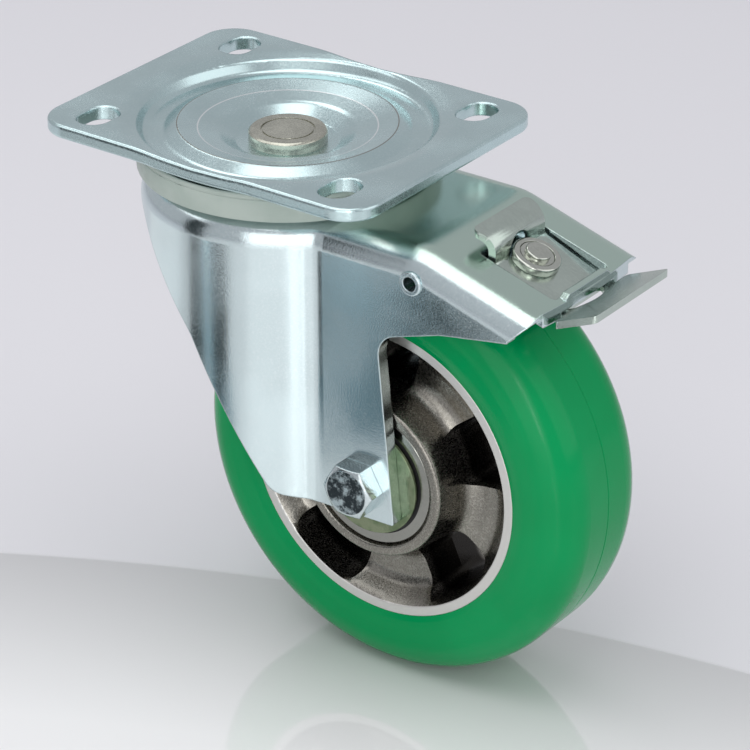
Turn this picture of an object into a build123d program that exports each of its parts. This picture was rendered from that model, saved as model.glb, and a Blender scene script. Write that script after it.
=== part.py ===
"""Heavy-duty swivel castor: 160 mm wheel, pressed fork, dished top plate, total-lock brake.

Millimetres. The origin is the centre of the top plate's upper face, on the swivel axis.
+Z is up, +Y the direction of travel, X runs along the axle. The brake is at the trailing side, -Y.
"""
from build123d import *
from math import cos, hypot, pi, radians, sin, sqrt, tan
import os

os.makedirs("parts", exist_ok=True)

# Top plate
plate_side = 3.0
plate_y = 140.0
plate_t = 5.0
plate_corner_r = 13.0
plate_edge_r = 1.2
slot_w = 12.0
slot_len = 17.0
slot_inset = 30.0
slot_spacing_y = 105.0
slot_edge = 0.5

# Fork: one drawn sheet
sheet_t = 5.0
head_top = -18.0
cup_r = 52.0
cup_shoulder_r = 6.5
horn_half = 36.0
horn_shoulder_r = 10.0
horn_inner_r = 2.5
crease_r = 10.0
horn_bend_y = -79.5
horn_angle = 16.5
horn_bend_r = 30.0
horn_rear_y = -126.2
horn_rear_bulge = 2.2
skirt_bottom = -28.5
skirt_end_y = 35.5
leg_knee_y = 4.5
leg_knee_z = -65.5
leg_toe_reach = 31.0
leg_heel_reach = 14.9
leg_below_axle = 12.5
leg_bottom_reach = 17.0
leg_toe_rise = 3.5
leg_heel_rise = 0.8
arch_y = -64.4
arch_z = -54.0
horn_belly_y = -90.6
horn_belly_z = -45.5
horn_tail_y = -117.5
horn_tail_z = -40.3
horn_tail_slope = 0.15
side_radii = [0.1, 12.0, 30.0, 9.0, 12.0, 0.8, 9.0, 20.0, 0.1]

# Opening and bridge at the end of the horn
opening_front_y = -92.6
opening_rear_y = -123.1
opening_half = 16.5
opening_corner_r = 1.6
bridge_half = 11.5
bridge_ramp = 1.8
bridge_rise = 1.2
bridge_setback = 0.35
bridge_underside_setback = 0.8

# Dish pressed into the plate: widths of its steps and depths of its upper face
seal_reach = 2.0
dish_clear = 4.5
rim_overlap = 5.0
dish_shoulder_w = 5.5
dish_shoulder_depth = 1.3
trough_side_w = 2.4
trough_floor_w = 6.8
trough_depth = 5.7
crest_inset = 13.2
crest_depth = 2.7
ledge_w = 7.2
ledge_depth = 4.45
bowl_r = 24.5
bowl_depth = 5.9
well_r = 18.2
well_depth = 10.0
top_radii = [16.0, 2.0, 2.6, 3.0, 1.2, 2.0, 5.0, 0.8]
bottom_radii = [16.0, 2.0, 2.6, 3.0, 4.0, 2.0, 5.0, 2.5]

# King pin
pin_r = 10.0
pin_head_r = 13.9
pin_head_h = 4.3
pin_head_chamfer = 0.7
pin_groove_r = 9.3
pin_groove_w = 0.7
pin_groove_depth = 0.5
pin_tail_r = 8.0
pin_nut_af = 24.0
pin_nut_h = 11.0
pin_tail_out = 1.5
nut_chamfer = 1.4

# Swivel bearing
upper_ball_r = 5.5
upper_ball_play = 1.1
lower_ball_r = 2.5
lower_ball_count = 22
lower_ring_r = 19.5
lower_groove_depth = 1.2
ball_gap = 0.3
head_hole_r = 13.0
disc_gap = 3.4
disc_t = 3.2
disc_r = 30.0
notch_count = 24
notch_w = 4.0
notch_depth = 5.7

# Seal ring
seal_foot_reach = 1.2
seal_wall = 3.3
seal_flange_w = 5.3
seal_flange_t = 2.2
seal_rise = 9.0
seal_lip = 0.4

# Wheel and axle
wheel_r = 80.0
swivel_offset = 56.5
crown_depth = 33.5
tyre_half = 25.0
tyre_side_draft = 0.7
tyre_shoulder_r = 14.0
tyre_foot = 2.0
tyre_belly_r = 12.0
parting_w = 0.7
parting_depth = 0.3
rim_r = 56.0
rim_half = 23.5
lip_w = 3.4

# Wheel centre
hub_half = 30.0
hub_wall = 3.8
hub_root_r = 33.0
spoke_half = 15.0
spoke_outer_r = 46.5
hub_mid_bore_r = 22.0
window_count = 5
window_start = 158.0
window_in_r = 33.2
window_out_r = 50.0
window_half_angle = 16.0
window_corner_r = 3.0
window_draft = 6.0

# Ball bearings 52 x 20 x 15
bearing_r = 26.0
bearing_bore_r = 10.0
bearing_w = 15.0
bearing_ball_r = 4.76
bearing_ball_count = 7
inner_ring_r = 14.5
outer_ring_in_r = 21.5
bearing_recess = 1.2
bearing_chamfer = 1.0
seal_plate_t = 1.1
seal_plate_set = 0.5
race_gap = 0.15

# Axle
bolt_r = 6.0
bolt_hole_r = 6.2
bolt_head_af = 18.0
bolt_head_h = 7.5
bolt_chamfer = 1.2
washer_r = 12.0
washer_t = 2.5
axle_nut_h = 10.5
bolt_out = 2.5
thread_chamfer = 0.9
spacer_r = 20.6
spacer_step_r = 13.2
spacer_step = 0.6

# Brake: the lever turns about the two pivot rivets
pivot_y = -78.6
pivot_z = -29.5
pivot_body_r = 3.2
pivot_bore_r = 2.6
pivot_flange_r = 4.4
pivot_flange_t = 1.0
lever_t = 2.5
lever_clear = 0.5
web_angle = 22.0
tab_root_y = -98.3
tab_root_z = -25.2
tab_bend_z = -16.3
tab_end_y = -89.5
tab_end_z = -13.6
tab_bend_r = 7.0
tab_root_half = 14.8
tab_end_half = 16.9
tab_corner_r = 2.4
web_half = 15.5
root_bend_r = 1.2
vee_y = -125.2
vee_bend_r = 4.0
pedal_end_y = -143.5
pedal_end_z = -28.4
pedal_half = 22.4
pedal_front_y = -126.9
pedal_corner_r = 1.6
window_centre_y = -116.2
window_r = 13.6
window_lip = 1.6
rivet_y = -104.2
notch_r = 6.6
brake_travel = 7.0
shoe_gap = 0.4

yoke_t = 2.5
yoke_flat_z = -28.4
yoke_bend_r = 4.0
yoke_ear_gap = 0.4
yoke_ear_r = 5.0
yoke_wing_rear_y = -92.0
yoke_front_y = -85.5
yoke_rear_y = -115.0
yoke_web_half = 14.5

strip_t = 1.5
strip_half = 10.0
strip_rear_y = -112.0
strip_knee_y = -62.0
strip_tip_y = -31.8
strip_tip_half = 6.0
tooth_half = 1.6
tooth_end_y = -26.5
tooth_h = 2.0
tooth_gap = 0.45
strip_radii = [6.0, 40.0, 8.0]

shoe_half = 14.0
shoe_front_y = -93.0
shoe_rear_y = -109.5
shoe_front_drop = 2.6

lever_washer_r = 8.7
lever_washer_t = 3.0
lever_washer_recess = 1.0
lever_washer_edge_r = 0.8
lever_rivet_r = 3.2
rivet_collar_r = 6.0
rivet_collar_t = 0.8
rivet_head_r = 4.5
rivet_head_h = 1.7
rivet_edge_r = 0.6
rivet_tail_r = 4.6
rivet_tail_h = 1.6
rivet_tail_depth = 12.0

seat_gap = 0.02
run_gap = 0.08

# Worked-out places
plate_x = 2 * (cup_r + plate_side)
slot_spacing_x = plate_x - slot_inset
crest_r = cup_r - crest_inset
ledge_r = crest_r - ledge_w
upper_ball_count = int(2 * pi * crest_r / (2 * upper_ball_r + upper_ball_play))
leg_in = horn_half - sheet_t
head_under = head_top - sheet_t
axle_y = -swivel_offset
axle_z = -crown_depth - wheel_r
leg_toe_y = axle_y + leg_toe_reach
leg_heel_y = axle_y - leg_heel_reach
leg_bottom_y = axle_y + leg_bottom_reach
leg_bottom = axle_z - leg_below_axle
tyre_wall = wheel_r - rim_r
tyre_side_r = rim_r + tyre_foot
shoulder_r = min(tyre_shoulder_r, 0.6 * tyre_wall)
tyre_mid_r = (wheel_r - shoulder_r + rim_r) / 2
belly_r = min(tyre_belly_r, 4 * (tyre_mid_r - tyre_side_r))
seal_r = cup_r + seal_reach
seal_foot_r = cup_r + seal_foot_reach
seal_top = head_top + seal_rise
dish_r = seal_r + dish_clear
dish_shoulder_r = dish_r - dish_shoulder_w
trough_outer_r = dish_shoulder_r - trough_side_w
trough_inner_r = trough_outer_r - trough_floor_w
upper_ball_z = -crest_depth - plate_t - ball_gap - upper_ball_r
lower_ball_z = head_under + lower_groove_depth - ball_gap - lower_ball_r
disc_top = head_under - disc_gap
disc_bottom = disc_top - disc_t
bearing_in_x = hub_half - bearing_recess - bearing_w
hub_face_r = bearing_r + hub_wall
slope = tan(radians(horn_angle))
sheet_drop = sheet_t / cos(radians(horn_angle))
web_slope = tan(radians(web_angle))
web_cos = cos(radians(web_angle))
web_sin = sin(radians(web_angle))
past = 10.0
far = 200.0


def roof_z(y):
    """Height of the horn's upper face at y, behind the bend."""
    return head_top - (horn_bend_y - y) * slope


def web_z(y):
    """Height of the lever web's upper face at y."""
    return tab_root_z + (y - tab_root_y) * web_slope


def export(item, name):
    """Label a finished piece and write its file."""
    item.part.label = name
    export_step(item.part, f"parts/{name}.step")


# Top plate: a flat rim with a pressed dish of the same thickness
dish_top = [
    (dish_r + rim_overlap, 0.0),
    (dish_r, 0.0),
    (dish_shoulder_r, -dish_shoulder_depth),
    (trough_outer_r, -trough_depth),
    (trough_inner_r, -trough_depth),
    (crest_r, -crest_depth),
    (ledge_r, -ledge_depth),
    (bowl_r, -bowl_depth),
    (well_r, -well_depth),
    (pin_r + seat_gap, -well_depth),
]
dish_bottom = [(r, z - plate_t) for r, z in dish_top]

with BuildPart() as top_plate:
    with BuildSketch(Plane.XY.offset(-plate_t)):
        RectangleRounded(plate_x, plate_y, plate_corner_r)
        Circle(dish_r + rim_overlap, mode=Mode.SUBTRACT)
    extrude(amount=plate_t)
    with BuildSketch(Plane.XZ):
        with BuildLine():
            upper = FilletPolyline(*dish_top, radius=top_radii)
            lower = FilletPolyline(*dish_bottom, radius=bottom_radii)
            Line(upper @ 0, lower @ 0)
            Line(upper @ 1, lower @ 1)
        make_face()
    revolve(axis=Axis.Z)
    with BuildSketch(Plane.XY.offset(-far)):
        RectangleRounded(plate_x, plate_y, plate_corner_r)
    extrude(amount=2 * far, mode=Mode.INTERSECT)
    upright = top_plate.faces().filter_by(lambda f: abs(f.normal_at().Z) < 0.01)
    outline = upright.filter_by(lambda f: hypot(f.center().X, f.center().Y) > plate_x / 2 - 1)
    rolled = [e for e in outline.edges() if abs(e.tangent_at(0.5).Z) < 0.5]
    fillet(rolled, plate_edge_r)
    with BuildSketch(Plane.XY):
        with GridLocations(slot_spacing_x, slot_spacing_y, 2, 2):
            SlotOverall(slot_len, slot_w)
    extrude(amount=-plate_t - 1, mode=Mode.SUBTRACT)
    on_top = [e for e in top_plate.edges() if abs(e.center().Z) < 0.01]
    near = [e for e in on_top if abs(abs(e.center().Y) - slot_spacing_y / 2) < slot_w / 2 + 0.1]
    chamfer([e for e in near if abs(abs(e.center().X) - slot_spacing_x / 2) < slot_len / 2 + 0.1], slot_edge)
    with BuildSketch(Plane.XZ):
        with Locations((crest_r, upper_ball_z)):
            Circle(upper_ball_r + ball_gap)
    revolve(axis=Axis.Z, mode=Mode.SUBTRACT)
export(top_plate, "top_plate")

# King pin: round head in the well, shoulder for the locking disc, threaded tail
pin_top = -well_depth + pin_head_h
tail_end = disc_bottom - pin_nut_h - pin_tail_out
with BuildPart() as king_pin:
    with BuildSketch(Plane.XZ):
        with BuildLine():
            Polyline(
                (0, pin_top),
                (pin_head_r - pin_head_chamfer, pin_top),
                (pin_head_r, pin_top - pin_head_chamfer),
                (pin_head_r, -well_depth),
                (pin_r, -well_depth),
                (pin_r, disc_top),
                (pin_tail_r, disc_top),
                (pin_tail_r, tail_end + thread_chamfer),
                (pin_tail_r - thread_chamfer, tail_end),
                (0, tail_end),
                close=True,
            )
        make_face()
    revolve(axis=Axis.Z)
    with BuildSketch(Plane.XY.offset(pin_top)):
        Circle(pin_groove_r + pin_groove_w / 2)
        Circle(pin_groove_r - pin_groove_w / 2, mode=Mode.SUBTRACT)
    extrude(amount=-pin_groove_depth, mode=Mode.SUBTRACT)
export(king_pin, "king_pin")

with BuildPart() as king_pin_nut:
    with BuildSketch(Plane.XY.offset(disc_bottom)):
        RegularPolygon(pin_nut_af / 2, 6, major_radius=False)
        Circle(pin_tail_r + seat_gap, mode=Mode.SUBTRACT)
    extrude(amount=-pin_nut_h)
    with BuildSketch(Plane.XZ):
        with BuildLine():
            Polyline(
                (0, disc_bottom),
                (pin_nut_af, disc_bottom),
                (pin_nut_af / 2 + 2 * nut_chamfer, disc_bottom - pin_nut_h + nut_chamfer),
                (pin_nut_af / 2, disc_bottom - pin_nut_h),
                (0, disc_bottom - pin_nut_h),
                close=True,
            )
        make_face()
    revolve(axis=Axis.Z, mode=Mode.INTERSECT)
export(king_pin_nut, "king_pin_nut")

# Locking disc: lower race, with notches round its rim
with BuildPart() as locking_disc:
    with BuildSketch(Plane.XY.offset(disc_bottom)):
        Circle(disc_r)
        Circle(pin_tail_r + seat_gap, mode=Mode.SUBTRACT)
        with PolarLocations(disc_r, notch_count):
            Rectangle(2 * notch_depth, notch_w, mode=Mode.SUBTRACT)
    extrude(amount=disc_t)
    with BuildSketch(Plane.XZ):
        with Locations((lower_ring_r, lower_ball_z)):
            Circle(lower_ball_r + ball_gap)
    revolve(axis=Axis.Z, mode=Mode.SUBTRACT)
export(locking_disc, "locking_disc")

# The two rows of balls
with BuildPart() as upper_balls:
    with PolarLocations(crest_r, upper_ball_count):
        with Locations((0, 0, upper_ball_z)):
            Sphere(upper_ball_r)
export(upper_balls, "upper_balls")

with BuildPart() as lower_balls:
    with PolarLocations(lower_ring_r, lower_ball_count):
        with Locations((0, 0, lower_ball_z)):
            Sphere(lower_ball_r)
export(lower_balls, "lower_balls")

# Fork: the cup and horn as a plan outline, its roof bent down behind the cup
rear_r = (horn_half ** 2 + horn_rear_bulge ** 2) / (2 * horn_rear_bulge)
wall_meet_y = -sqrt(cup_r ** 2 - horn_half ** 2)
inner_cup_r = cup_r - sheet_t
with BuildPart() as fork:
    with BuildSketch(Plane.XY.offset(head_top)) as outer_plan:
        Circle(cup_r)
        with Locations((0, (horn_rear_y - past) / 2)):
            Rectangle(2 * horn_half, past - horn_rear_y)
        crease = [v for v in outer_plan.vertices() if abs(v.Y - wall_meet_y) < 0.1]
        fillet(crease, crease_r)
    extrude(amount=leg_bottom - head_top - 1)
    with BuildSketch(Plane.YZ):
        with BuildLine():
            roof = FilletPolyline(
                (cup_r + past, head_top),
                (horn_bend_y, head_top),
                (horn_rear_y - 2 * past, roof_z(horn_rear_y - 2 * past)),
                radius=horn_bend_r,
            )
            Polyline(roof @ 1, (horn_rear_y - 2 * past, -far), (cup_r + past, -far), roof @ 0)
        make_face()
    extrude(amount=cup_r + past, both=True, mode=Mode.INTERSECT)
    roof_edges = fork.faces().filter_by(lambda f: f.normal_at().Z > 0.9).edges()
    fillet([e for e in roof_edges if abs(abs(e.center().X) - horn_half) < 0.1], horn_shoulder_r)
    roof_edges = fork.faces().filter_by(lambda f: f.normal_at().Z > 0.9).edges()
    fillet([e for e in roof_edges if hypot(e.center().X, e.center().Y) > cup_r - 1], cup_shoulder_r)
    with BuildSketch(Plane.XY.offset(-far)):
        Circle(inner_cup_r)
        with Locations((0, horn_rear_y / 2 - past)):
            Rectangle(2 * leg_in, 2 * past - horn_rear_y)
    inner = extrude(amount=2 * far, mode=Mode.PRIVATE)
    with BuildSketch(Plane.YZ, mode=Mode.PRIVATE) as inner_roof:
        with BuildLine():
            ceiling = FilletPolyline(
                (cup_r + past, head_under),
                (horn_bend_y + sheet_t * tan(radians(horn_angle / 2)), head_under),
                (horn_rear_y - 2 * past, roof_z(horn_rear_y - 2 * past) - sheet_drop),
                radius=horn_bend_r - sheet_t,
            )
            Polyline(ceiling @ 1, (horn_rear_y - 2 * past, -far), (cup_r + past, -far), ceiling @ 0)
        make_face()
    cavity = inner & extrude(inner_roof.sketch, amount=cup_r, both=True, mode=Mode.PRIVATE)
    level = [e for e in cavity.edges() if e.center().Z > -far / 3 and abs(e.tangent_at(0.5).Y) > 0.9]
    long_edges = [e for e in level if abs(abs(e.center().X) - leg_in) < 0.1]
    add(cavity.fillet(horn_inner_r, long_edges), mode=Mode.SUBTRACT)
    # Rear end: bowed in plan, with the side walls cut back below the roof
    with BuildSketch(Plane.XY.offset(-far)):
        with Locations((0, horn_rear_y + rear_r)):
            Circle(rear_r)
    extrude(amount=2 * far, mode=Mode.INTERSECT)
    for side in (-1, 1):
        with BuildSketch(Plane.YZ.offset(side * (horn_half - horn_shoulder_r))):
            with BuildLine():
                Polyline(
                    (horn_tail_y, horn_tail_z),
                    (horn_rear_y, roof_z(horn_rear_y)),
                    (horn_rear_y - past, roof_z(horn_rear_y)),
                    (horn_rear_y - past, -far / 2),
                    (horn_tail_y, -far / 2),
                    close=True,
                )
            make_face()
        extrude(amount=side * far, mode=Mode.SUBTRACT)
    # Side view: front skirt, raked legs and the rising lower edge of the horn
    with BuildSketch(Plane.YZ):
        with BuildLine():
            FilletPolyline(
                (cup_r + past, far),
                (cup_r + past, skirt_bottom),
                (skirt_end_y, skirt_bottom),
                (leg_knee_y, leg_knee_z),
                (leg_toe_y, leg_bottom + leg_toe_rise),
                (leg_bottom_y, leg_bottom),
                (leg_heel_y, leg_bottom + leg_heel_rise),
                (arch_y, arch_z),
                (horn_belly_y, horn_belly_z),
                (horn_rear_y - past, horn_tail_z + (horn_tail_y - horn_rear_y + past) * horn_tail_slope),
                (horn_rear_y - past, far),
                radius=side_radii,
            )
            Line((horn_rear_y - past, far), (cup_r + past, far))
        make_face()
    extrude(amount=cup_r + past, both=True, mode=Mode.INTERSECT)
    # Raised bridge behind the opening, thinned underneath where the lever passes
    bridge_z = roof_z(opening_rear_y)
    with BuildSketch(Plane.XZ.offset(-opening_rear_y)):
        with BuildLine():
            Polyline(
                (-bridge_half - bridge_ramp, bridge_z - bridge_rise),
                (-bridge_half - bridge_ramp, bridge_z),
                (-bridge_half, bridge_z + bridge_rise),
                (bridge_half, bridge_z + bridge_rise),
                (bridge_half + bridge_ramp, bridge_z),
                (bridge_half + bridge_ramp, bridge_z - bridge_rise),
                close=True,
            )
        make_face()
    extrude(amount=opening_rear_y - horn_rear_y - bridge_setback)
    with BuildSketch(Plane.XZ.offset(-opening_rear_y - bridge_underside_setback)):
        with Locations((0, web_z(opening_rear_y) + lever_clear - sheet_t)):
            Rectangle(2 * (web_half + lever_clear), 2 * sheet_t)
    extrude(amount=far, mode=Mode.SUBTRACT)
    # Opening over the lever
    with BuildSketch(Plane.XY):
        with Locations((0, (opening_front_y + opening_rear_y) / 2)):
            RectangleRounded(2 * opening_half, opening_front_y - opening_rear_y, opening_corner_r)
    extrude(amount=skirt_bottom - past, mode=Mode.SUBTRACT)
    # Swivel bearing seats in the head
    with BuildSketch(Plane.XY):
        Circle(head_hole_r)
    extrude(amount=skirt_bottom, mode=Mode.SUBTRACT)
    with BuildSketch(Plane.XZ):
        with Locations((crest_r, upper_ball_z)):
            Circle(upper_ball_r + ball_gap)
        with Locations((lower_ring_r, lower_ball_z)):
            Circle(lower_ball_r + ball_gap)
    revolve(axis=Axis.Z, mode=Mode.SUBTRACT)
    # Axle and pivot holes
    with BuildSketch(Plane.YZ):
        with Locations((axle_y, axle_z)):
            Circle(bolt_hole_r)
        with Locations((pivot_y, pivot_z)):
            Circle(pivot_body_r + seat_gap)
    extrude(amount=horn_half + 1, both=True, mode=Mode.SUBTRACT)
export(fork, "fork")

# Seal ring on the fork's shoulder, under the plate's dish
with BuildPart() as seal_ring:
    with BuildSketch(Plane.XZ):
        with BuildLine():
            Polyline(
                (seal_foot_r - seal_wall - seal_flange_w, head_top),
                (seal_foot_r - seal_wall, head_top),
                (seal_foot_r - seal_lip, head_top + seal_lip),
                (seal_foot_r, head_top + 2 * seal_lip),
                (seal_r, seal_top - seal_lip),
                (seal_r - seal_lip, seal_top),
                (seal_r - 3 * seal_lip, seal_top - seal_lip),
                (seal_r - seal_wall, seal_top - seal_wall * 0.7),
                (seal_foot_r - seal_wall, head_top + seal_flange_t),
                (seal_foot_r - seal_wall - seal_flange_w, head_top + seal_flange_t),
                close=True,
            )
        make_face()
    revolve(axis=Axis.Z)
export(seal_ring, "seal_ring")

# Wheel centre: a turned profile with five drafted windows between the spokes
half_profile = [
    (0, hub_mid_bore_r),
    (bearing_in_x, hub_mid_bore_r),
    (bearing_in_x, bearing_r + seat_gap),
    (hub_half, bearing_r + seat_gap),
    (hub_half, hub_face_r),
    (spoke_half, hub_root_r),
    (spoke_half, spoke_outer_r),
    (rim_half, rim_r - lip_w),
    (rim_half, rim_r),
    (0, rim_r),
]
with BuildPart() as wheel_centre:
    with BuildSketch(Plane.XY):
        with BuildLine():
            side = FilletPolyline(
                *half_profile,
                radius=[0.2, 0.2, 0.8, 1.4, 7.0, 6.0, 0.5, 0.3],
            )
            Line(side @ 1, side @ 0)
        make_face()
        mirror(about=Plane.YZ)
    revolve(axis=Axis.X)
    with BuildSketch(Plane.YZ) as window_plan:
        for turn in range(window_count):
            begin = window_start + turn * 360 / window_count - window_half_angle
            with BuildLine():
                inner_arc = CenterArc((0, 0), window_in_r, begin, 2 * window_half_angle)
                outer_arc = CenterArc((0, 0), window_out_r, begin, 2 * window_half_angle)
                Line(inner_arc @ 0, outer_arc @ 0)
                Line(inner_arc @ 1, outer_arc @ 1)
            make_face()
        fillet(window_plan.vertices(), window_corner_r)
    extrude(amount=hub_half, taper=-window_draft, both=True, mode=Mode.SUBTRACT)
wheel_centre.part = wheel_centre.part.moved(Location((0, axle_y, axle_z)))
export(wheel_centre, "wheel_centre")

# Tyre: flat tread, rounded shoulders, bonded to the rim
with BuildPart() as tyre:
    with BuildSketch(Plane.XY):
        with BuildLine():
            skin = FilletPolyline(
                (0, wheel_r - parting_depth),
                (parting_w / 2, wheel_r),
                (tyre_half, wheel_r),
                (tyre_half, tyre_mid_r),
                (tyre_half - tyre_side_draft, tyre_side_r),
                (rim_half, rim_r + seat_gap),
                (0, rim_r + seat_gap),
                radius=[0.2, shoulder_r, belly_r, 1.0, 0.2],
            )
            Line(skin @ 1, skin @ 0)
        make_face()
        mirror(about=Plane.YZ)
    revolve(axis=Axis.X)
tyre.part = tyre.part.moved(Location((0, axle_y, axle_z)))
export(tyre, "tyre")

# Bearings, one each side
race_r = (inner_ring_r + outer_ring_in_r) / 2
bearing_mid_x = bearing_in_x + bearing_w / 2
for side_name, side in (("left", -1), ("right", 1)):
    ring_plane = Plane(origin=(side * bearing_mid_x, axle_y, axle_z), x_dir=(0, 1, 0), z_dir=(side, 0, 0))
    with BuildPart() as groove:
        with BuildSketch(Plane.XZ):
            with Locations((race_r, 0)):
                Circle(bearing_ball_r + race_gap)
        revolve(axis=Axis.Z)
    race_cut = ring_plane.location * groove.part
    with BuildPart() as outer_ring:
        with BuildSketch(ring_plane.offset(-bearing_w / 2)):
            Circle(bearing_r)
            Circle(outer_ring_in_r, mode=Mode.SUBTRACT)
        extrude(amount=bearing_w)
        rims = outer_ring.edges().filter_by(GeomType.CIRCLE)
        chamfer([e for e in rims if e.radius > bearing_r - 0.5], bearing_chamfer)
        add(race_cut, mode=Mode.SUBTRACT)
    export(outer_ring, f"bearing_outer_{side_name}")
    with BuildPart() as inner_ring:
        with BuildSketch(ring_plane.offset(-bearing_w / 2)):
            Circle(inner_ring_r)
            Circle(bearing_bore_r + seat_gap, mode=Mode.SUBTRACT)
        extrude(amount=bearing_w)
        add(race_cut, mode=Mode.SUBTRACT)
    export(inner_ring, f"bearing_inner_{side_name}")
    with BuildPart() as ball_set:
        for turn in range(bearing_ball_count):
            angle = 2 * pi * turn / bearing_ball_count
            spot = ring_plane.from_local_coords((race_r * cos(angle), race_r * sin(angle), 0))
            with Locations(spot):
                Sphere(bearing_ball_r)
    export(ball_set, f"bearing_balls_{side_name}")
    with BuildPart() as seals:
        for start in (bearing_w / 2 - seal_plate_set - seal_plate_t, -bearing_w / 2 + seal_plate_set):
            with BuildSketch(ring_plane.offset(start)):
                Circle(outer_ring_in_r - seat_gap)
                Circle(inner_ring_r + race_gap, mode=Mode.SUBTRACT)
            extrude(amount=seal_plate_t)
    export(seals, f"bearing_seal_{side_name}")
    with BuildPart() as spacer:
        with BuildSketch(ring_plane.offset(bearing_w / 2)):
            Circle(spacer_step_r)
            Circle(bearing_bore_r + seat_gap, mode=Mode.SUBTRACT)
        extrude(amount=leg_in - bearing_mid_x - bearing_w / 2)
        with BuildSketch(ring_plane.offset(bearing_w / 2 + spacer_step)):
            Circle(spacer_r)
            Circle(bearing_bore_r + seat_gap, mode=Mode.SUBTRACT)
        extrude(amount=leg_in - bearing_mid_x - bearing_w / 2 - spacer_step)
    export(spacer, f"spacer_{side_name}")

# Axle: a tube clamped between the legs by a hexagon bolt
axle_plane = Plane(origin=(0, axle_y, axle_z), x_dir=(0, 1, 0), z_dir=(1, 0, 0))
with BuildPart() as axle_tube:
    with BuildSketch(axle_plane.offset(-leg_in)):
        Circle(bearing_bore_r)
        Circle(bolt_hole_r, mode=Mode.SUBTRACT)
    extrude(amount=2 * leg_in)
export(axle_tube, "axle_tube")

bolt_end = horn_half + washer_t + axle_nut_h + bolt_out
with BuildPart() as axle_bolt:
    with BuildSketch(axle_plane.offset(-horn_half)):
        RegularPolygon(bolt_head_af / 2, 6, major_radius=False)
    extrude(amount=-bolt_head_h)
    with BuildSketch(Plane.XY.offset(axle_z)):
        with BuildLine():
            Polyline(
                (-horn_half - bolt_head_h, axle_y),
                (-horn_half - bolt_head_h, axle_y + bolt_head_af / 2 - bolt_chamfer / 2),
                (-horn_half - bolt_head_h + bolt_chamfer, axle_y + bolt_head_af / 2 + bolt_chamfer * 1.5),
                (-horn_half, axle_y + bolt_head_af / 2 + bolt_chamfer * 1.5),
                (-horn_half, axle_y),
                close=True,
            )
        make_face()
    revolve(axis=Axis((0, axle_y, axle_z), (1, 0, 0)), mode=Mode.INTERSECT)
    with BuildSketch(axle_plane.offset(-horn_half)):
        Circle(bolt_r)
    extrude(amount=horn_half + bolt_end)
    chamfer(axle_bolt.faces().sort_by(Axis.X)[-1].edges(), thread_chamfer)
export(axle_bolt, "axle_bolt")

with BuildPart() as nut_washer:
    with BuildSketch(axle_plane.offset(horn_half)):
        Circle(washer_r)
        Circle(bolt_r + seat_gap, mode=Mode.SUBTRACT)
    extrude(amount=washer_t)
export(nut_washer, "nut_washer")

with BuildPart() as axle_nut:
    with BuildSketch(axle_plane.offset(horn_half + washer_t)):
        RegularPolygon(bolt_head_af / 2, 6, major_radius=False)
        Circle(bolt_r + seat_gap, mode=Mode.SUBTRACT)
    extrude(amount=axle_nut_h)
export(axle_nut, "axle_nut")

# Hollow pivot rivets through the horn's sides and the ears of the yoke
ear_out = leg_in - yoke_ear_gap
ear_in = ear_out - yoke_t
with BuildPart() as pivot_rivets:
    for side in (-1, 1):
        base = Plane(origin=(side * (ear_in - pivot_flange_t), pivot_y, pivot_z), x_dir=(0, 1, 0), z_dir=(side, 0, 0))
        with BuildSketch(base):
            Circle(pivot_body_r)
        extrude(amount=horn_half - ear_in + 2 * pivot_flange_t)
        with BuildSketch(base):
            Circle(pivot_flange_r)
        extrude(amount=pivot_flange_t - run_gap)
        with BuildSketch(base.offset(horn_half - ear_in + pivot_flange_t)):
            Circle(pivot_flange_r)
        extrude(amount=pivot_flange_t)
        with BuildSketch(base):
            Circle(pivot_bore_r)
        extrude(amount=far, mode=Mode.SUBTRACT)
    lips = pivot_rivets.faces().filter_by(Axis.X).sort_by(Axis.X)
    outer_lips = [lips[0], lips[-1]]
    fillet([e for f in outer_lips for e in f.edges() if e.radius > pivot_bore_r + 0.5], pivot_flange_t * 0.6)
export(pivot_rivets, "pivot_rivets")


def folded_sheet(line_points, radii, thickness, half_width):
    """Sheet of even thickness below a bent line in the side view, 2 * half_width wide."""
    with BuildPart() as sheet:
        with BuildSketch(Plane.YZ):
            with BuildLine():
                FilletPolyline(*line_points, radius=radii)
                offset(amount=thickness, side=Side.RIGHT, closed=True)
            make_face()
        extrude(amount=half_width, both=True)
    return sheet.part


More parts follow.
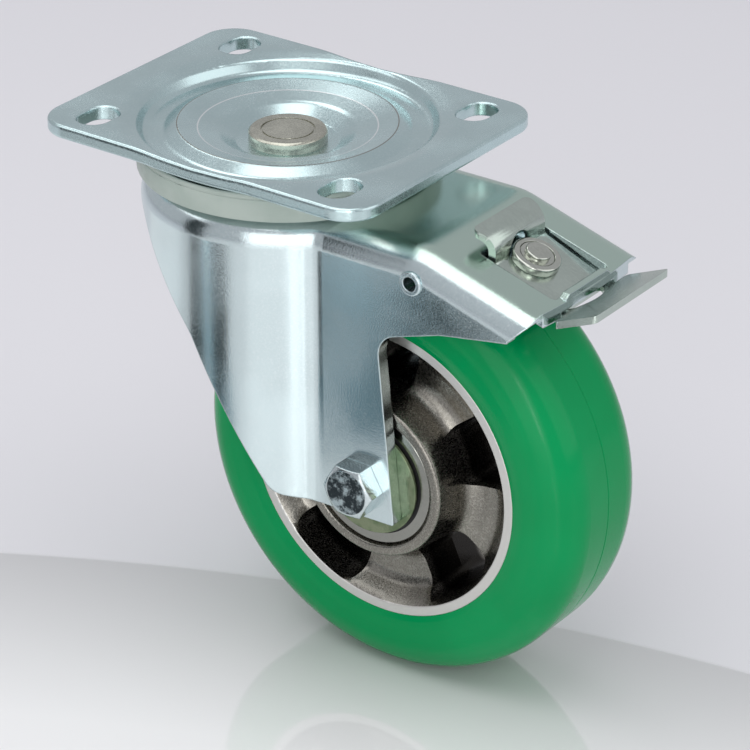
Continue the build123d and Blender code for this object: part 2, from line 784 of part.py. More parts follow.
# Brake lever: pedal, web and release tab folded from one strip
vee_z = web_z(vee_y)
tab_line = [
    (pedal_end_y, pedal_end_z),
    (vee_y, vee_z),
    (tab_root_y, tab_root_z),
    (tab_root_y, tab_bend_z),
    (tab_end_y, tab_end_z),
]
web_plane = Plane(origin=(0, rivet_y, web_z(rivet_y)), x_dir=(1, 0, 0), z_dir=(0, -web_sin, web_cos))
with BuildPart() as brake_lever:
    add(folded_sheet(tab_line, [vee_bend_r, root_bend_r, tab_bend_r], lever_t, pedal_half))
    with BuildSketch(Plane.XY.offset(-far)) as lever_plan:
        with BuildLine():
            Polyline(
                (tab_root_half, tab_root_y),
                (tab_end_half, tab_end_y),
                (-tab_end_half, tab_end_y),
                (-tab_root_half, tab_root_y),
                (-web_half, tab_root_y),
                (-web_half, pedal_front_y),
                (-pedal_half, pedal_front_y),
                (-pedal_half, pedal_end_y),
                (pedal_half, pedal_end_y),
                (pedal_half, pedal_front_y),
                (web_half, pedal_front_y),
                (web_half, tab_root_y),
                close=True,
            )
        make_face()
        fillet([v for v in lever_plan.vertices() if abs(v.Y - tab_end_y) < 0.1], tab_corner_r)
        fillet([v for v in lever_plan.vertices() if abs(abs(v.X) - pedal_half) < 0.1], pedal_corner_r)
        with Locations((0, window_centre_y)):
            Circle(window_r, mode=Mode.SUBTRACT)
        with Locations((0, (vee_y + window_lip + tab_root_y) / 2)):
            Rectangle(2 * web_half, tab_root_y - vee_y - window_lip)
    extrude(amount=2 * far, mode=Mode.INTERSECT)
    with BuildSketch(Plane.XZ.offset(-tab_root_y)):
        with Locations((0, tab_root_z)):
            Circle(notch_r)
    extrude(amount=2 * lever_t, both=True, mode=Mode.SUBTRACT)
    with BuildSketch(web_plane):
        Circle(lever_rivet_r + seat_gap)
    extrude(amount=far, both=True, mode=Mode.SUBTRACT)
export(brake_lever, "brake_lever")

# Brake yoke: folded plate under the web, with an ear on each pivot rivet
under_lever = lever_t / web_cos
yoke_bend_y = tab_root_y + (yoke_flat_z - tab_root_z + under_lever) / web_slope
yoke_line = [
    (yoke_rear_y, web_z(yoke_rear_y) - under_lever),
    (yoke_bend_y, yoke_flat_z),
    (yoke_front_y, yoke_flat_z),
]
with BuildPart() as brake_yoke:
    add(folded_sheet(yoke_line, [yoke_bend_r], yoke_t, ear_out))
    with BuildSketch(Plane.XY.offset(-far)):
        with Locations((0, (yoke_wing_rear_y + yoke_front_y) / 2)):
            Rectangle(2 * ear_out, yoke_front_y - yoke_wing_rear_y)
        with Locations((0, (yoke_rear_y + yoke_front_y) / 2)):
            Rectangle(2 * yoke_web_half, yoke_front_y - yoke_rear_y + past)
    extrude(amount=2 * far, mode=Mode.INTERSECT)
    for side in (-1, 1):
        with BuildSketch(Plane.YZ.offset(side * ear_in)):
            with BuildLine():
                Polyline(
                    (yoke_wing_rear_y, yoke_flat_z),
                    (pivot_y, pivot_z + yoke_ear_r),
                    (pivot_y, pivot_z - yoke_ear_r),
                    (yoke_wing_rear_y + yoke_t, pivot_z - yoke_ear_r),
                    (yoke_wing_rear_y, yoke_flat_z - yoke_t),
                    close=True,
                )
            make_face()
            with Locations((pivot_y, pivot_z)):
                Circle(yoke_ear_r)
                Circle(pivot_body_r + run_gap, mode=Mode.SUBTRACT)
        extrude(amount=side * yoke_t)
    with BuildSketch(web_plane):
        Circle(lever_rivet_r + seat_gap)
    extrude(amount=-far, mode=Mode.SUBTRACT)
export(brake_yoke, "brake_yoke")

# Lock strip: leaf spring over the wheel, its upturned tooth under the locking disc
under_yoke = under_lever + yoke_t / web_cos
strip_flat_z = yoke_flat_z - yoke_t
strip_bend_y = tab_root_y + (strip_flat_z - tab_root_z + under_yoke) / web_slope
strip_tip_z = disc_bottom - tooth_gap - tooth_h
strip_line = [
    (strip_rear_y, web_z(strip_rear_y) - under_yoke),
    (strip_bend_y, strip_flat_z),
    (strip_knee_y, strip_flat_z - run_gap),
    (strip_tip_y, strip_tip_z),
    (tooth_end_y, strip_tip_z),
]
with BuildPart() as lock_strip:
    add(folded_sheet(strip_line, strip_radii, strip_t, strip_half))
    with BuildSketch(Plane.XY.offset(-far)):
        with BuildLine():
            Polyline(
                (-strip_half, strip_rear_y - 5),
                (-strip_half, strip_knee_y),
                (-strip_tip_half, strip_tip_y),
                (-tooth_half, strip_tip_y),
                (-tooth_half, 0),
                (tooth_half, 0),
                (tooth_half, strip_tip_y),
                (strip_tip_half, strip_tip_y),
                (strip_half, strip_knee_y),
                (strip_half, strip_rear_y - 5),
                close=True,
            )
        make_face()
    extrude(amount=2 * far, mode=Mode.INTERSECT)
    with BuildSketch(Plane.XY.offset(strip_tip_z)):
        with Locations((0, tooth_end_y - strip_t / 2)):
            Rectangle(2 * tooth_half, strip_t)
    extrude(amount=tooth_h)
    with BuildSketch(web_plane):
        Circle(lever_rivet_r + seat_gap)
    extrude(amount=-far, mode=Mode.SUBTRACT)
export(lock_strip, "lock_strip")

# Brake shoe: its underside fits the tyre when the pedal is down
under_strip = under_yoke + strip_t / web_cos
travel = radians(brake_travel)
arm_y = axle_y - pivot_y
arm_z = axle_z - pivot_z
shoe_centre = (
    pivot_y + arm_y * cos(travel) + arm_z * sin(travel),
    pivot_z - arm_y * sin(travel) + arm_z * cos(travel),
)
with BuildPart() as brake_shoe:
    with BuildSketch(Plane.YZ):
        with BuildLine():
            Polyline(
                (shoe_rear_y, web_z(shoe_rear_y) - under_strip),
                (shoe_front_y, web_z(shoe_front_y) - under_strip - shoe_front_drop),
                (shoe_front_y, axle_z),
                (shoe_rear_y, axle_z),
                close=True,
            )
        make_face()
        with Locations(shoe_centre):
            Circle(wheel_r + shoe_gap, mode=Mode.SUBTRACT)
    extrude(amount=shoe_half, both=True)
    with BuildSketch(web_plane):
        Circle(lever_rivet_r + seat_gap)
    extrude(amount=-far, mode=Mode.SUBTRACT)
    with BuildSketch(web_plane.offset(-rivet_tail_depth)):
        Circle(rivet_tail_r + run_gap)
    extrude(amount=-far, mode=Mode.SUBTRACT)
export(brake_shoe, "brake_shoe")

# Washer and rivet that hold the brake's layers together
with BuildPart() as lever_washer:
    with BuildSketch(web_plane):
        Circle(lever_washer_r)
        Circle(lever_rivet_r + seat_gap, mode=Mode.SUBTRACT)
    extrude(amount=lever_washer_t)
    with BuildSketch(web_plane.offset(lever_washer_t)):
        Circle(rivet_collar_r + ball_gap)
    extrude(amount=-lever_washer_recess, mode=Mode.SUBTRACT)
    rim = lever_washer.edges().filter_by(GeomType.CIRCLE).filter_by(lambda e: e.radius > lever_washer_r - 0.1)
    fillet(rim.sort_by(Axis.Z)[-1], lever_washer_edge_r)
export(lever_washer, "lever_washer")

collar_base = lever_washer_t - lever_washer_recess
head_base = collar_base + rivet_collar_t
with BuildPart() as lever_rivet:
    with BuildSketch(web_plane.offset(collar_base)):
        Circle(rivet_collar_r)
    extrude(amount=rivet_collar_t)
    with BuildSketch(web_plane.offset(head_base)):
        Circle(rivet_head_r)
    extrude(amount=rivet_head_h)
    fillet(lever_rivet.faces().sort_by(Axis(web_plane.origin, web_plane.z_dir))[-1].edges(), rivet_edge_r)
    with BuildSketch(web_plane.offset(collar_base)):
        Circle(lever_rivet_r)
    extrude(amount=-collar_base - rivet_tail_depth)
    with BuildSketch(web_plane.offset(-rivet_tail_depth)):
        Circle(rivet_tail_r)
    extrude(amount=-rivet_tail_h)
export(lever_rivet, "lever_rivet")
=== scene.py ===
"""Looks of the swivel castor: materials, small details, floor, light and camera.

Lengths are metres in the part's own frame: Z is up, X runs along the axle with the bolt's head at -X, and the
pedal trails at -Y.
"""
import math

import bpy
from mathutils import Matrix, Vector


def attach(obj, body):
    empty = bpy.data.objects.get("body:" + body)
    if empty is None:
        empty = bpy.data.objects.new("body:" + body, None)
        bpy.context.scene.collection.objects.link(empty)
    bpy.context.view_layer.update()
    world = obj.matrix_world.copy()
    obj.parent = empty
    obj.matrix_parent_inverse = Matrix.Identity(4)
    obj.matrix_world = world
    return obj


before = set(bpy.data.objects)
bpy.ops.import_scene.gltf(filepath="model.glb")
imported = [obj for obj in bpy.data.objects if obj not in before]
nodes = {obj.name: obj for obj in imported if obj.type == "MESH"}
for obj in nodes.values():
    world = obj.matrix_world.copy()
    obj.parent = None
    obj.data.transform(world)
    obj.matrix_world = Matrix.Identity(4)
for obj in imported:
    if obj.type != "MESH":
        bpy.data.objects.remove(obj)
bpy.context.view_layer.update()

# Places on the castor. A pair tells where a change of look starts and where it is complete.
AXLE = Vector((0.0, -0.0565, -0.1135))
WHEEL_R = 0.080
FLOOR_Z = AXLE.z - WHEEL_R
CREST_R = 0.0388
LEDGE_R = 0.0316
HORN_Y = (-0.035, -0.060)
LIP_R = (0.0521, 0.0524)
LIP_X = (0.0230, 0.0233)
WINDOW_R = (0.0300, 0.0305)
WINDOW_X = (0.0146, 0.0110)
BOLT_FACE_R = (0.0080, 0.0083)
BOLT_FACE_X = (-0.0433, -0.0435)

# Places of the colour sockets on a Mix node
MIX_COLOR_A = 6
MIX_COLOR_B = 7
MIX_COLOR_RESULT = 2


class Finish:
    """A procedural material: colour, roughness and bump built from the object's own coordinates."""

    def __init__(self, name, color, roughness, metallic=0.0, **sockets):
        self.mat = bpy.data.materials.new(name)
        self.mat.use_nodes = True
        self.tree = self.mat.node_tree
        self.bsdf = self.tree.nodes["Principled BSDF"]
        self.set("Base Color", (*color, 1.0))
        self.set("Metallic", metallic)
        self.set("Roughness", roughness)
        for key, value in sockets.items():
            self.set(key.replace("_", " "), value)
        self.coords = self.add("ShaderNodeTexCoord").outputs["Object"]
        self.normal = None

    def set(self, socket, value):
        self.bsdf.inputs[socket].default_value = value

    def add(self, kind, **props):
        item = self.tree.nodes.new(kind)
        for key, value in props.items():
            setattr(item, key, value)
        return item

    def link(self, a, b):
        self.tree.links.new(a, b)

    def plug(self, socket, value):
        """Sets a socket to a number or links it to another one."""
        if isinstance(value, bpy.types.NodeSocket):
            self.link(value, socket)
        else:
            socket.default_value = value

    def math(self, operation, a, b=0.0):
        item = self.add("ShaderNodeMath", operation=operation)
        self.plug(item.inputs[0], a)
        self.plug(item.inputs[1], b)
        return item.outputs[0]

    def stretched(self, scale):
        """Coordinates stretched for drawn grain."""
        item = self.add("ShaderNodeMapping")
        item.inputs["Scale"].default_value = scale
        self.link(self.coords, item.inputs["Vector"])
        return item.outputs[0]

    def noise(self, scale, detail=2.0, rough=0.5, coords=None):
        """A cloudy pattern from 0 to 1, with about scale patches to a unit of its coordinates."""
        item = self.add("ShaderNodeTexNoise")
        item.inputs["Scale"].default_value = scale
        item.inputs["Detail"].default_value = detail
        item.inputs["Roughness"].default_value = rough
        self.link(coords or self.coords, item.inputs["Vector"])
        return item.outputs["Fac"]

    def ramp(self, value, low, high, to_low=0.0, to_high=1.0, smooth=True):
        """Carries one range of numbers over to another."""
        item = self.add("ShaderNodeMapRange", interpolation_type="SMOOTHSTEP" if smooth else "LINEAR")
        for key, number in (("From Min", low), ("From Max", high), ("To Min", to_low), ("To Max", to_high)):
            item.inputs[key].default_value = number
        self.link(value, item.inputs["Value"])
        return item.outputs["Result"]

    def mix(self, factor, a, b):
        """Two colours or colour sockets mixed by a factor."""
        item = self.add("ShaderNodeMix", data_type="RGBA")
        self.plug(item.inputs["Factor"], factor)
        for socket, value in ((MIX_COLOR_A, a), (MIX_COLOR_B, b)):
            color = value if isinstance(value, bpy.types.NodeSocket) else (*value, 1.0)
            self.plug(item.inputs[socket], color)
        return item.outputs[MIX_COLOR_RESULT]

    def mottle(self, value, dark, light):
        """Two colours mixed by a noise."""
        return self.mix(self.ramp(value, 0.35, 0.65), dark, light)

    def axes(self):
        """X, Y and Z of the point in the part's frame."""
        item = self.add("ShaderNodeSeparateXYZ")
        self.link(self.coords, item.inputs[0])
        return item.outputs

    def radius(self, a, b, a0=0.0, b0=0.0):
        """Distance from an axis, given the two coordinates across it."""
        da = self.math("SUBTRACT", a, a0)
        db = self.math("SUBTRACT", b, b0)
        squares = self.math("ADD", self.math("MULTIPLY", da, da), self.math("MULTIPLY", db, db))
        return self.math("SQRT", squares)

    def facing_up(self):
        """1 where the surface faces up, 0 where it stands upright."""
        item = self.add("ShaderNodeSeparateXYZ")
        self.link(self.add("ShaderNodeTexCoord").outputs["Normal"], item.inputs[0])
        return item.outputs["Z"]

    def line_at(self, radius, place, half_width):
        """0.8 on a thin drawn circle at a radius, 0 beside it."""
        off = self.math("ABSOLUTE", self.math("SUBTRACT", radius, place))
        return self.ramp(off, half_width, half_width * 2, 0.8, 0.0)

    def round_edges(self, radius):
        """Shades sharp edges as if they were rounded. It comes before any bump."""
        item = self.add("ShaderNodeBevel", samples=6)
        item.inputs["Radius"].default_value = radius
        self.normal = item.outputs["Normal"]

    def bump(self, height, strength, distance):
        """Stacks one more layer of bump on the surface."""
        item = self.add("ShaderNodeBump")
        item.inputs["Strength"].default_value = strength
        item.inputs["Distance"].default_value = distance
        self.link(height, item.inputs["Height"])
        if self.normal is not None:
            self.link(self.normal, item.inputs["Normal"])
        self.normal = item.outputs["Normal"]
        self.link(self.normal, self.bsdf.inputs["Normal"])

    def one_sided(self):
        """Makes the back of a surface clear."""
        behind = self.add("ShaderNodeNewGeometry").outputs["Backfacing"]
        clear = self.add("ShaderNodeBsdfTransparent").outputs[0]
        both_sides = self.add("ShaderNodeMixShader")
        for socket, value in zip(both_sides.inputs, (behind, self.bsdf.outputs[0], clear)):
            self.link(value, socket)
        self.link(both_sides.outputs[0], self.tree.nodes["Material Output"].inputs["Surface"])

    def color(self, value):
        self.link(value, self.bsdf.inputs["Base Color"])

    def rough(self, value):
        self.link(value, self.bsdf.inputs["Roughness"])

    def vary_rough(self, value, low, high):
        """Lets the roughness follow a noise."""
        self.rough(self.ramp(value, 0.3, 0.7, low, high))


def shaded(color, factor):
    return tuple(c * factor for c in color)


def zinc(name, base, rough, grain=1.0):
    """Bright zinc plate on pressed sheet: bluish, with the fine glittering grain of drawn steel."""
    f = Finish(name, base, roughness=rough, metallic=1.0)
    cloud = f.ramp(f.noise(34.0, 3.0), 0.35, 0.68)
    speck = f.noise(1500.0, 2.0, 0.65)
    glitter = f.ramp(speck, 0.48, 0.70, 0.0, 0.22 * grain)
    f.tone = f.mix(glitter, f.mix(cloud, shaded(base, 0.95), shaded(base, 1.05)), (0.90, 0.93, 0.93))
    f.color(f.tone)
    cloud_rough = f.ramp(cloud, 0.0, 1.0, rough - 0.03, rough + 0.03)
    f.rough(f.math("ADD", cloud_rough, f.ramp(speck, 0.3, 0.7, -0.03, 0.05)))
    f.round_edges(0.0007)
    f.bump(f.noise(22.0), 0.16, 0.0005)
    f.bump(speck, 0.35 * grain, 0.00008)
    return f


def brushed(name, color, scale, rough, depth, spread):
    """Plated steel with a fine drawn grain, and light and dark patches."""
    f = Finish(name, color, roughness=rough, metallic=1.0)
    lines = f.noise(1.0, 3.0, 0.6, f.stretched(scale))
    patches = f.noise(90.0, 3.0)
    both_noises = f.math("ADD", f.math("MULTIPLY", lines, 0.5), f.math("MULTIPLY", patches, 0.5))
    f.color(f.mottle(both_noises, shaded(color, 1 - spread), shaded(color, 1 + spread)))
    f.vary_rough(lines, rough - 0.03, rough + 0.05)
    f.bump(lines, depth, 0.00003)
    f.bump(f.noise(1900.0, 1.0), 0.12, 0.00004)
    return f


# Top plate: a thin line of painted shade on the crest of the dish and a thin painted highlight on the ledge
# inside it
plate_zinc = zinc("plate_zinc", (0.53, 0.67, 0.68), rough=0.24, grain=0.6)
plate_x, plate_y = plate_zinc.axes()[:2]
plate_r = plate_zinc.radius(plate_x, plate_y)
crest_painted_shade = plate_zinc.line_at(plate_r, CREST_R, 0.00012)
ledge_painted_highlight = plate_zinc.line_at(plate_r, LEDGE_R, 0.00016)
crest_shaded_tone = plate_zinc.mix(crest_painted_shade, plate_zinc.tone, (0.20, 0.16, 0.12))
plate_zinc.color(plate_zinc.mix(ledge_painted_highlight, crest_shaded_tone, (0.92, 0.95, 0.95)))

# Fork: a painted greenish reflection on the upper faces of the horn
fork_zinc = zinc("fork_zinc", (0.60, 0.70, 0.715), rough=0.18)
on_horn = fork_zinc.ramp(fork_zinc.axes()["Y"], *HORN_Y)
horn_top_painted_reflection = fork_zinc.math("MULTIPLY", on_horn, fork_zinc.ramp(fork_zinc.facing_up(), 0.55, 0.90))
fork_zinc.color(fork_zinc.mix(horn_top_painted_reflection, fork_zinc.tone, (0.50, 0.63, 0.56)))

# Small plated pieces
small_zinc = zinc("small_zinc", (0.60, 0.70, 0.72), rough=0.22, grain=1.3)

# Lever, its rivet, and the turned and speckled head of the king pin
LEVER_GRAIN = (1600.0, 500.0, 500.0)
RIVET_GRAIN = (1200.0, 1200.0, 1200.0)
PIN_GRAIN = (1500.0, 1500.0, 1500.0)
lever_steel = brushed("lever_steel", (0.48, 0.55, 0.50), LEVER_GRAIN, rough=0.22, depth=0.07, spread=0.05)
rivet_steel = brushed("rivet_steel", (0.50, 0.52, 0.47), RIVET_GRAIN, rough=0.15, depth=0.05, spread=0.06)
pin_steel = brushed("pin_steel", (0.48, 0.48, 0.41), PIN_GRAIN, rough=0.26, depth=0.14, spread=0.16)

# Tyre: cast polyurethane, soft gloss
tyre = Finish("tyre_green", (0.0, 0.269, 0.079), roughness=0.165, IOR=1.42, Specular_IOR_Level=0.22)
tyre.color(tyre.mottle(tyre.noise(22.0), (0.0, 0.255, 0.074), (0.0, 0.283, 0.084)))
tyre.vary_rough(tyre.noise(120.0, 3.0, 0.6), 0.13, 0.20)
tyre.bump(tyre.noise(60.0), 0.10, 0.0002)

# Wheel centre: die-cast and blasted, with painted shade inside the windows, and a turned lip
cast = Finish("cast_aluminium", (0.24, 0.23, 0.20), roughness=0.30, metallic=1.0)
cast_x, cast_y, cast_z = cast.axes()
cast_r = cast.radius(cast_y, cast_z, AXLE.y, AXLE.z)
off_middle = cast.math("ABSOLUTE", cast_x)
on_lip = cast.math("MULTIPLY", cast.ramp(cast_r, *LIP_R), cast.ramp(off_middle, *LIP_X))
in_window = cast.math("MULTIPLY", cast.ramp(off_middle, *WINDOW_X), cast.ramp(cast_r, *WINDOW_R))
grit = cast.noise(1300.0, 3.0, 0.65)
blasted = cast.mottle(cast.noise(55.0, 3.0), (0.22, 0.21, 0.185), (0.26, 0.248, 0.218))
gritty = cast.mix(cast.ramp(grit, 0.45, 0.7, 0.0, 0.20), blasted, (0.82, 0.79, 0.73))
# Painted shade: the walls inside the windows are coloured near black
window_painted_shade = cast.mix(in_window, gritty, (0.024, 0.022, 0.019))
cast.color(cast.mix(on_lip, window_painted_shade, (0.74, 0.73, 0.70)))
cast_rough = cast.ramp(on_lip, 0.0, 1.0, 0.25, 0.45)
cast.rough(cast.math("ADD", cast_rough, cast.ramp(grit, 0.3, 0.7, -0.04, 0.08)))
grit_off_lip = cast.ramp(on_lip, 0.0, 1.0, 1.0, 0.15)
grit_off_window = cast.ramp(in_window, 0.0, 1.0, 1.0, 0.3)
grit_share = cast.math("MULTIPLY", grit_off_lip, grit_off_window)
cast.bump(cast.math("MULTIPLY", grit, grit_share), 0.45, 0.00012)

# Bearings: ground rings with turning marks, and black rubber seals
bearing = Finish("bearing_steel", (0.30, 0.30, 0.275), roughness=0.21, metallic=1.0)
bearing.vary_rough(bearing.noise(300.0), 0.16, 0.26)
turning_marks = bearing.noise(1.0, coords=bearing.stretched((30.0, 1600.0, 1600.0)))
bearing.bump(turning_marks, 0.08, 0.00004)

bearing_seal = Finish("bearing_seal", (0.020, 0.020, 0.021), roughness=0.55)
bearing_seal.bump(bearing_seal.noise(900.0), 0.15, 0.00008)

# Spacers: yellow-green passivated zinc
passive = Finish("passivated_zinc", (0.185, 0.23, 0.14), roughness=0.19, metallic=1.0)
passive_patches = passive.noise(150.0, 3.0, 0.6)
passive.color(passive.mottle(passive_patches, (0.13, 0.18, 0.10), (0.24, 0.28, 0.18)))
passive.vary_rough(passive_patches, 0.14, 0.24)
passive.bump(passive.noise(1500.0), 0.2, 0.00006)

# Seal ring: dull grey-green plastic
seal = Finish("seal_plastic", (0.385, 0.4525, 0.4075), roughness=0.44, IOR=1.5)
seal.color(seal.mottle(seal.noise(70.0, 3.0), (0.36, 0.43, 0.385), (0.41, 0.475, 0.43)))
seal.vary_rough(seal.noise(300.0), 0.38, 0.50)
seal.bump(seal.noise(1300.0), 0.12, 0.00008)

# Brake shoe: dark block
block = Finish("brake_block", (0.06, 0.06, 0.06), roughness=0.6, metallic=0.6)
block.bump(block.noise(700.0, 3.0), 0.4, 0.0002)

# Hexagon bolt: bright zinc with a mottled end face
bolt = zinc("bolt_zinc", (0.56, 0.63, 0.645), rough=0.15)
bolt_x, bolt_y, bolt_z = bolt.axes()
bolt_r = bolt.radius(bolt_y, bolt_z, AXLE.y, AXLE.z)
in_end_circle = bolt.ramp(bolt_r, *BOLT_FACE_R, 1.0, 0.0)
on_end = bolt.math("MULTIPLY", bolt.ramp(bolt_x, *BOLT_FACE_X), in_end_circle)
stains = bolt.ramp(bolt.noise(260.0, 4.0, 0.7), 0.46, 0.66)
stained = bolt.mix(stains, (0.035, 0.045, 0.05), (0.42, 0.50, 0.52))
bolt.color(bolt.mix(on_end, bolt.tone, stained))


def both(stem):
    """The names of a piece that is there on the left and on the right."""
    return [stem + "_left", stem + "_right"]


rings = [*both("bearing_inner"), *both("bearing_outer")]
balls = [*both("bearing_balls"), "upper_balls", "lower_balls"]
pieces_of_finish = (
    (plate_zinc, ["top_plate"]),
    (fork_zinc, ["fork", "locking_disc"]),
    (small_zinc, ["brake_yoke", "king_pin_nut", "pivot_rivets", "nut_washer"]),
    (pin_steel, ["king_pin"]),
    (seal, ["seal_ring"]),
    (bolt, ["axle_bolt", "axle_nut"]),
    (bearing, ["axle_tube", *rings, *balls]),
    (bearing_seal, both("bearing_seal")),
    (passive, both("spacer")),
    (tyre, ["tyre"]),
    (cast, ["wheel_centre"]),
    (lever_steel, ["brake_lever", "lock_strip"]),
    (rivet_steel, ["lever_rivet", "lever_washer"]),
    (block, ["brake_shoe"]),
)
finish_of = {name: finish for finish, names in pieces_of_finish for name in names}

# Rounded edges of the pieces, by the width of the rounding
pieces_of_edge = (
    (0.0002, ["king_pin", "lever_washer", "lever_rivet", "lock_strip"]),
    (0.0003, ["brake_lever", "brake_yoke", "seal_ring", "wheel_centre", "nut_washer", *both("spacer")]),
    (0.0004, ["axle_bolt", "axle_nut"]),
)
edge_width = {name: width for width, names in pieces_of_edge for name in names}
WELD_DISTANCE = 1e-6
SHARP_ANGLE = math.radians(38)

for name, obj in nodes.items():
    obj.data.materials.clear()
    obj.data.materials.append(finish_of[name].mat)
    if name in edge_width:
        weld = obj.modifiers.new("weld", "WELD")
        weld.merge_threshold = WELD_DISTANCE
        bevel = obj.modifiers.new("edge", "BEVEL")
        bevel.width = edge_width[name]
        bevel.segments = 2
        bevel.limit_method = "ANGLE"
        bevel.angle_limit = SHARP_ANGLE
        bevel.harden_normals = True
        bevel.use_clamp_overlap = True


def linked_object(name, mesh, mat):
    """A mesh put into the scene with its material."""
    obj = bpy.data.objects.new(name, mesh)
    bpy.context.scene.collection.objects.link(obj)
    obj.data.materials.append(mat)
    return obj


def small_piece(name, verts, faces, mat, body):
    mesh = bpy.data.meshes.new(name)
    mesh.from_pydata(verts, [], faces)
    mesh.shade_smooth()
    obj = linked_object(name, mesh, mat)
    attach(obj, body)


def turned_ring(name, profile, mat, body, steps=160):
    """A closed profile of (radius, height) points turned about the swivel axis."""
    verts = []
    for step in range(steps):
        a = 2 * math.pi * step / steps
        verts += [(r * math.cos(a), r * math.sin(a), z) for r, z in profile]
    n = len(profile)
    faces = []
    for step in range(steps):
        this, after = step * n, (step + 1) % steps * n
        faces += [(this + k, this + (k + 1) % n, after + (k + 1) % n, after + k) for k in range(n)]
    small_piece(name, verts, faces, mat, body)


def thread(name, start, end, radius, depth, pitch, mat, body, steps=40):
    """A helical ridge round the axle line between two X places."""
    turns = (end - start) / pitch - 1
    count = int(turns * steps)
    verts = []
    for step in range(count + 1):
        a = 2 * math.pi * step / steps
        x = start + pitch * step / steps
        for along, r in ((0.0, radius - depth), (0.5, radius + depth), (1.0, radius - depth)):
            verts.append((x + along * pitch, AXLE.y + r * math.cos(a), AXLE.z + r * math.sin(a)))
    faces = []
    for step in range(count):
        k = step * 3
        faces += [(k, k + 1, k + 4, k + 3), (k + 1, k + 2, k + 5, k + 4)]
    small_piece(name, verts, faces, mat, body)


# Soft lip of the seal, that reaches up to just under the plate
seal_lip = [
    (0.05285, -0.0096), (0.0538, -0.0095), (0.0539, -0.0078),
    (0.0536, -0.0073), (0.0531, -0.0073), (0.05285, -0.0077),
]
turned_ring("seal_lip", seal_lip, seal.mat, "fork")

# Last turns of the bolt's thread, beyond the nut
thread(
    "bolt_thread", start=0.0491, end=0.0510, radius=0.00595, depth=0.00022, pitch=0.0009,
    mat=bolt.mat, body="fork",
)


def plane_object(name, corners, mat):
    """One flat face of the studio."""
    mesh = bpy.data.meshes.new(name)
    mesh.from_pydata(corners, [], [list(range(len(corners)))])
    obj = linked_object(name, mesh, mat)
    return obj


def level(corners, height):
    """Corners in plan, all put at one height."""
    return [(x, y, height) for x, y in corners]


# A pale glossy table with a round edge, in front of a grey-lavender ground, both with painted shade that
# makes them darker towards the table's edge. The pairs are distances inward from the table's edge, negative
# on the ground.
TABLE_CENTRE = (-0.7088, -0.2687)
TABLE_R = 0.7651
TABLE_EDGE = (-0.0015, 0.0015)
TABLE_PAINTED_SHADE = (0.0, 0.110)
GROUND_PAINTED_SHADE = (-0.60, -0.12)
FLOOR_REACH = 3.0
floor = Finish("floor", (0.70, 0.70, 0.72), roughness=0.10, IOR=2.0)
floor_x, floor_y = floor.axes()[:2]
inside = floor.math("SUBTRACT", TABLE_R, floor.radius(floor_x, floor_y, *TABLE_CENTRE))
on_table = floor.ramp(inside, *TABLE_EDGE)
# Painted shade: the table darker near its edge, the ground darker next to the table
table = floor.mix(floor.ramp(inside, *TABLE_PAINTED_SHADE, smooth=False), (0.59, 0.59, 0.60), (0.88, 0.88, 0.88))
ground_painted_shade = floor.ramp(inside, *GROUND_PAINTED_SHADE, smooth=False)
ground = floor.mix(ground_painted_shade, (0.79, 0.785, 0.815), (0.74, 0.735, 0.765))
floor.color(floor.mix(on_table, ground, table))
floor.rough(floor.ramp(on_table, 0.0, 1.0, 0.75, 0.06))
floor_corners = [(x * FLOOR_REACH, y * FLOOR_REACH) for x, y in ((-1, -1), (1, -1), (1, 1), (-1, 1))]
plane_object("floor", level(floor_corners, FLOOR_Z), floor.mat)


def studio_card(name, corners, mat):
    """A card beside the castor that only its bright metal mirrors, with its face turned to the castor."""
    obj = plane_object(name, corners, mat)
    if obj.data.polygons[0].normal.dot(Vector(corners[0])) > 0:
        obj.data.flip_normals()
    obj.visible_camera = False
    obj.visible_diffuse = False
    obj.visible_shadow = False


# Cards, flat just above the floor or upright
CARD_Z = FLOOR_Z + 0.0010
UPPER_CARD_Z = FLOOR_Z + 0.0012
LOWER_CARD_Z = FLOOR_Z + 0.0005
UPRIGHT_TOP_Z = 0.28

dark_card = Finish("dark_card", (0.015, 0.024, 0.026), roughness=0.9)
dark_front = [
    (-0.170, 0.155), (-0.225, 0.103), (-0.345, 0.191), (-0.345, 0.300), (-0.258, 0.222), (-0.205, 0.178),
]
dark_side = [
    (-0.212, 0.058), (-0.262, 0.096), (-0.320, 0.136), (-0.390, 0.170), (-0.390, 0.060), (-0.262, 0.034),
]
upright_foot = [(-0.420, 0.400), (-0.505, 0.262)]
upright = level(upright_foot, FLOOR_Z) + level(upright_foot[::-1], UPRIGHT_TOP_Z)
studio_card("dark_card_front", level(dark_front, CARD_Z), dark_card.mat)
studio_card("dark_card_side", level(dark_side, CARD_Z), dark_card.mat)
studio_card("dark_card_upright", upright, dark_card.mat)

white_card = Finish("white_card", (0.95, 0.95, 0.95), roughness=0.9)
white_front = [
    (-0.120, 0.220), (-0.190, 0.238), (-0.250, 0.286), (-0.300, 0.420), (0.020, 0.460), (0.020, 0.250),
]
white_side = [(-0.350, 0.195), (-0.400, 0.175), (-0.500, 0.160), (-0.430, 0.320), (-0.350, 0.320)]
studio_card("white_card_front", level(white_front, CARD_Z), white_card.mat)
studio_card("white_card_side", level(white_side, UPPER_CARD_Z), white_card.mat)

# The blue card is dark next to the castor and pale further out
BLUE_SHADE_R = (0.20, 0.36)
blue_card = Finish("blue_card", (0.30, 0.40, 0.46), roughness=0.9)
blue_x, blue_y = blue_card.axes()[:2]
away = blue_card.ramp(blue_card.radius(blue_x, blue_y), *BLUE_SHADE_R, smooth=False)
blue_card.color(blue_card.mix(away, (0.05, 0.13, 0.17), (0.62, 0.82, 0.90)))
blue_side = [(-0.164, 0.060), (-0.209, -0.002), (-0.400, 0.111), (-0.350, 0.200)]
studio_card("blue_card", level(blue_side, LOWER_CARD_Z), blue_card.mat)

for finish in (dark_card, white_card, blue_card):
    finish.one_sided()

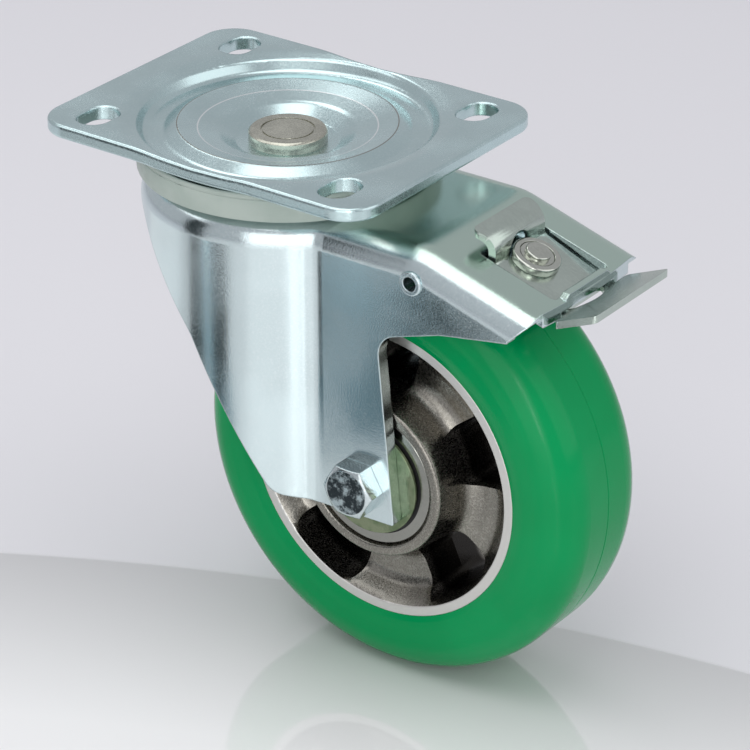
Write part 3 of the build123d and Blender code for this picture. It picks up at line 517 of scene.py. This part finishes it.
# Even light from all round
world = bpy.data.worlds.new("studio")
bpy.context.scene.world = world
world.use_nodes = True
background = world.node_tree.nodes["Background"]
background.inputs["Color"].default_value = (0.80, 0.80, 0.84, 1.0)
background.inputs["Strength"].default_value = 0.68


def soft_lamp(name, place, target, power, width, height=None):
    """A square or oblong area lamp turned to a target. Power is in watts."""
    data = bpy.data.lights.new(name, "AREA")
    data.energy = power
    data.size = width
    if height:
        data.shape = "RECTANGLE"
        data.size_y = height
    obj = bpy.data.objects.new(name, data)
    obj.location = place
    obj.rotation_euler = (Vector(target) - Vector(place)).to_track_quat("-Z", "Y").to_euler()
    obj.visible_camera = False
    bpy.context.scene.collection.objects.link(obj)


# Lamps, turned to the castor's middle, to its swivel head or to its plate
MIDDLE = (0.0, -0.05, -0.08)
HEAD = (0.0, -0.05, -0.05)
PLATE = (0.0, 0.0, 0.0)
soft_lamp("top_box", (-0.30, -0.05, 1.0), MIDDLE, power=4.2, width=0.95)
soft_lamp("key_box", (-0.95, -0.50, 0.20), MIDDLE, power=3.1, width=0.90)
soft_lamp("strip_box", (-0.935, -0.784, 0.26), MIDDLE, power=0.9, width=0.12, height=0.60)
soft_lamp("side_box", (-0.46, 0.66, 0.76), HEAD, power=0.9, width=0.50)
soft_lamp("back_box", (0.33, 0.62, 0.86), PLATE, power=1.1, width=0.42)
soft_lamp("rear_box", (0.2, -1.0, 0.40), MIDDLE, power=2.6, width=1.0)

# Camera at the photograph's viewing angle
CAMERA_PLACE = Vector((-0.91285, -0.70513, 0.49227))
CAMERA_RIGHT = Vector((0.58939, -0.80785, -0.00245))
CAMERA_UP = Vector((0.37175, 0.26853, 0.88865))
CAMERA_BACK = -CAMERA_UP.cross(CAMERA_RIGHT)
SENSOR_WIDTH_MM = 36.0
FOCAL_LENGTH_MM = 172.19
FAR_CLIP = 20.0
camera_data = bpy.data.cameras.new("camera")
camera_data.sensor_width = SENSOR_WIDTH_MM
camera_data.lens = FOCAL_LENGTH_MM
camera_data.clip_end = FAR_CLIP
camera = bpy.data.objects.new("camera", camera_data)
bpy.context.scene.collection.objects.link(camera)
rows = zip(CAMERA_RIGHT, CAMERA_UP, CAMERA_BACK, CAMERA_PLACE)
camera.matrix_world = Matrix((*rows, (0.0, 0.0, 0.0, 1.0)))
bpy.context.scene.camera = camera
bpy.context.scene.view_settings.view_transform = "Standard"
